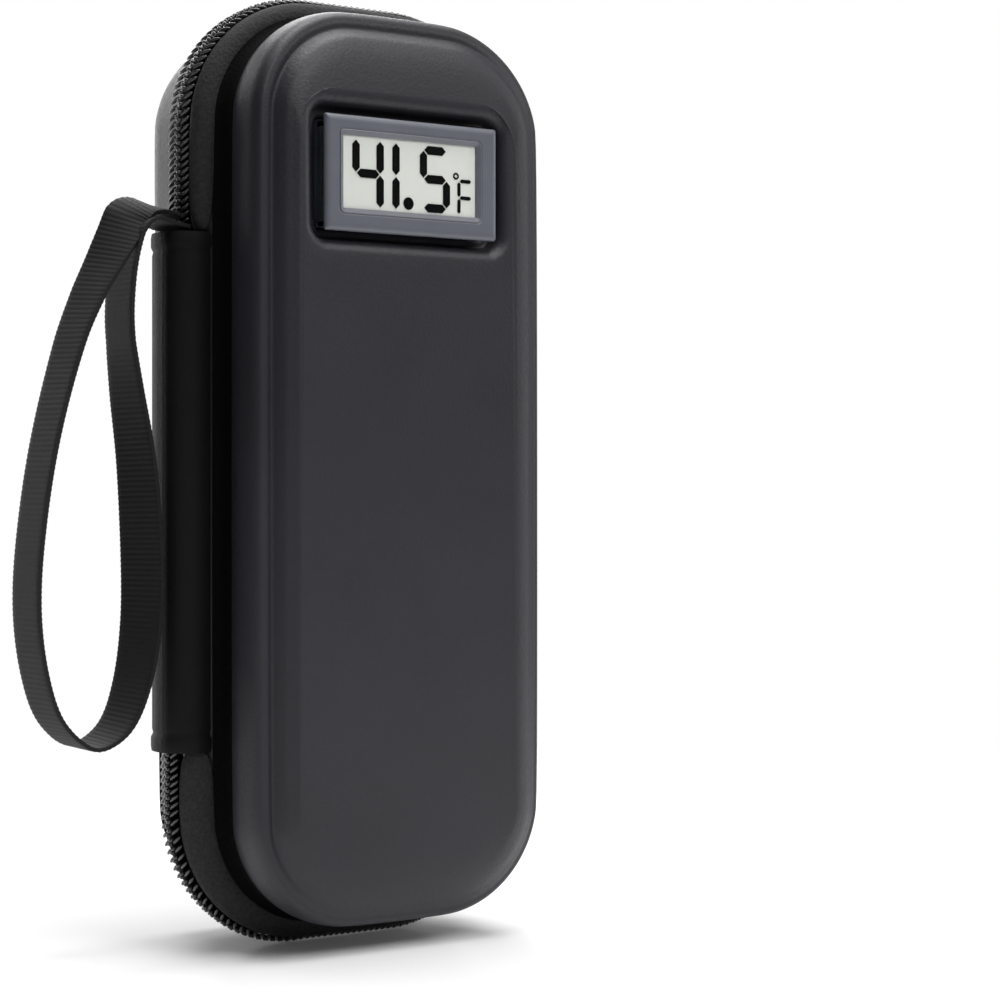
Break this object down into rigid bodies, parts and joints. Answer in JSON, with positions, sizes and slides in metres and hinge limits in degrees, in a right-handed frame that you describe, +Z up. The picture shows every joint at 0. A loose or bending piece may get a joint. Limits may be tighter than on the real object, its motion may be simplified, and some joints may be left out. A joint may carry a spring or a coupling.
{
  "type": "insulin cooling case",
  "caption": "Moulded zip-round travel case that keeps insulin cool, with a display thermometer in its lid, gel ice packs in mesh pockets, a soft spine and a wrist strap.",
  "frame": {"origin": "on the floor below the middle of the zipper, where the case stands on its lower edge", "axes": "+Z up along the length of the case, -Y out of the front panel with the display, -X towards the spine and the strap, +X towards the zipper sliders"},
  "size_m": [0.1304, 0.0538, 0.2154],
  "materials": {
    "leather": "satin, fine pebbled grain",
    "lining_cloth": "brushed",
    "tape_cloth": "woven",
    "nylon": "satin",
    "webbing": "ribbed weave",
    "slate_plastic": "satin",
    "clear_plastic": "clear",
    "display_glass": "satin",
    "board": "satin",
    "steel": "brushed",
    "dark_metal": "satin",
    "blue_gel": "soft film",
    "mesh_cloth": "open net"
  },
  "bodies": {
    "base": {"rear_shell": "leather", "rear_lining": "lining_cloth", "rear_zipper_tape": "tape_cloth", "rear_zipper_coil": "nylon", "rear_spine_welt": "leather", "rear_mesh_pocket": "mesh_cloth"},
    "rear_pack": {"rear_ice_pack": "blue_gel"},
    "spine": {"spine_band": "leather", "upper_hem": "leather", "lower_hem": "leather", "strap_tab": "webbing"},
    "lid": {"front_shell": "leather", "front_lining": "lining_cloth", "front_zipper_tape": "tape_cloth", "front_zipper_coil": "nylon", "front_spine_welt": "leather", "front_mesh_pocket": "mesh_cloth", "thermometer_housing": "slate_plastic", "display_window": "clear_plastic", "lcd_panel": "display_glass", "circuit_board": "board", "battery_contact": "steel", "thermometer_back": "slate_plastic", "temperature_sensor": "steel", "left_button_cell": "steel", "right_button_cell": "steel"},
    "front_pack": {"front_ice_pack": "blue_gel"},
    "battery_door": {"battery_door": "slate_plastic"},
    "strap": {"wrist_strap": "webbing"},
    "upper_slider": {"upper_slider": "dark_metal"},
    "upper_pull": {"upper_pull": "dark_metal"},
    "lower_slider": {"lower_slider": "dark_metal"},
    "lower_pull": {"lower_pull": "dark_metal"}
  },
  "joints": [
    {"name": "spine_fold", "type": "hinge", "parent": "base", "child": "spine", "pos_m": [-0.0463, 0.0063, 0.1025], "axis": [0, 0, -1], "range_deg": [0, 90]},
    {"name": "lid_fold", "type": "hinge", "parent": "spine", "child": "lid", "pos_m": [-0.0463, -0.0063, 0.1025], "axis": [0, 0, -1], "range_deg": [0, 90]},
    {"name": "strap_swing", "type": "hinge", "parent": "spine", "child": "strap", "pos_m": [-0.0539, 0, 0.1624], "axis": [0, 1, 0], "range_deg": [0, 80]},
    {"name": "upper_slider_run", "type": "slide", "parent": "base", "child": "upper_slider", "axis": [0, 0, 1], "range_m": [0, 0.06]},
    {"name": "lower_slider_run", "type": "slide", "parent": "base", "child": "lower_slider", "axis": [0, 0, -1], "range_m": [0, 0.06]},
    {"name": "upper_pull_swing", "type": "hinge", "parent": "upper_slider", "child": "upper_pull", "pos_m": [0.04715, 0, 0.1147], "axis": [0, 1, 0], "range_deg": [0, 90]},
    {"name": "lower_pull_swing", "type": "hinge", "parent": "lower_slider", "child": "lower_pull", "pos_m": [0.04715, 0, 0.1007], "axis": [0, -1, 0], "range_deg": [0, 90]},
    {"name": "battery_door_slide", "type": "slide", "parent": "lid", "child": "battery_door", "axis": [0, 0, -1], "range_m": [0, 0.012]},
    {"name": "rear_pack_slide", "type": "slide", "parent": "base", "child": "rear_pack", "axis": [0, 0, 1], "range_m": [0, 0.03]},
    {"name": "front_pack_slide", "type": "slide", "parent": "lid", "child": "front_pack", "axis": [0, 0, 1], "range_m": [0, 0.012]}
  ],
  "couplings": [
    {"joint": "spine_fold", "follows": "lid_fold", "ratio": 1}
  ]
}
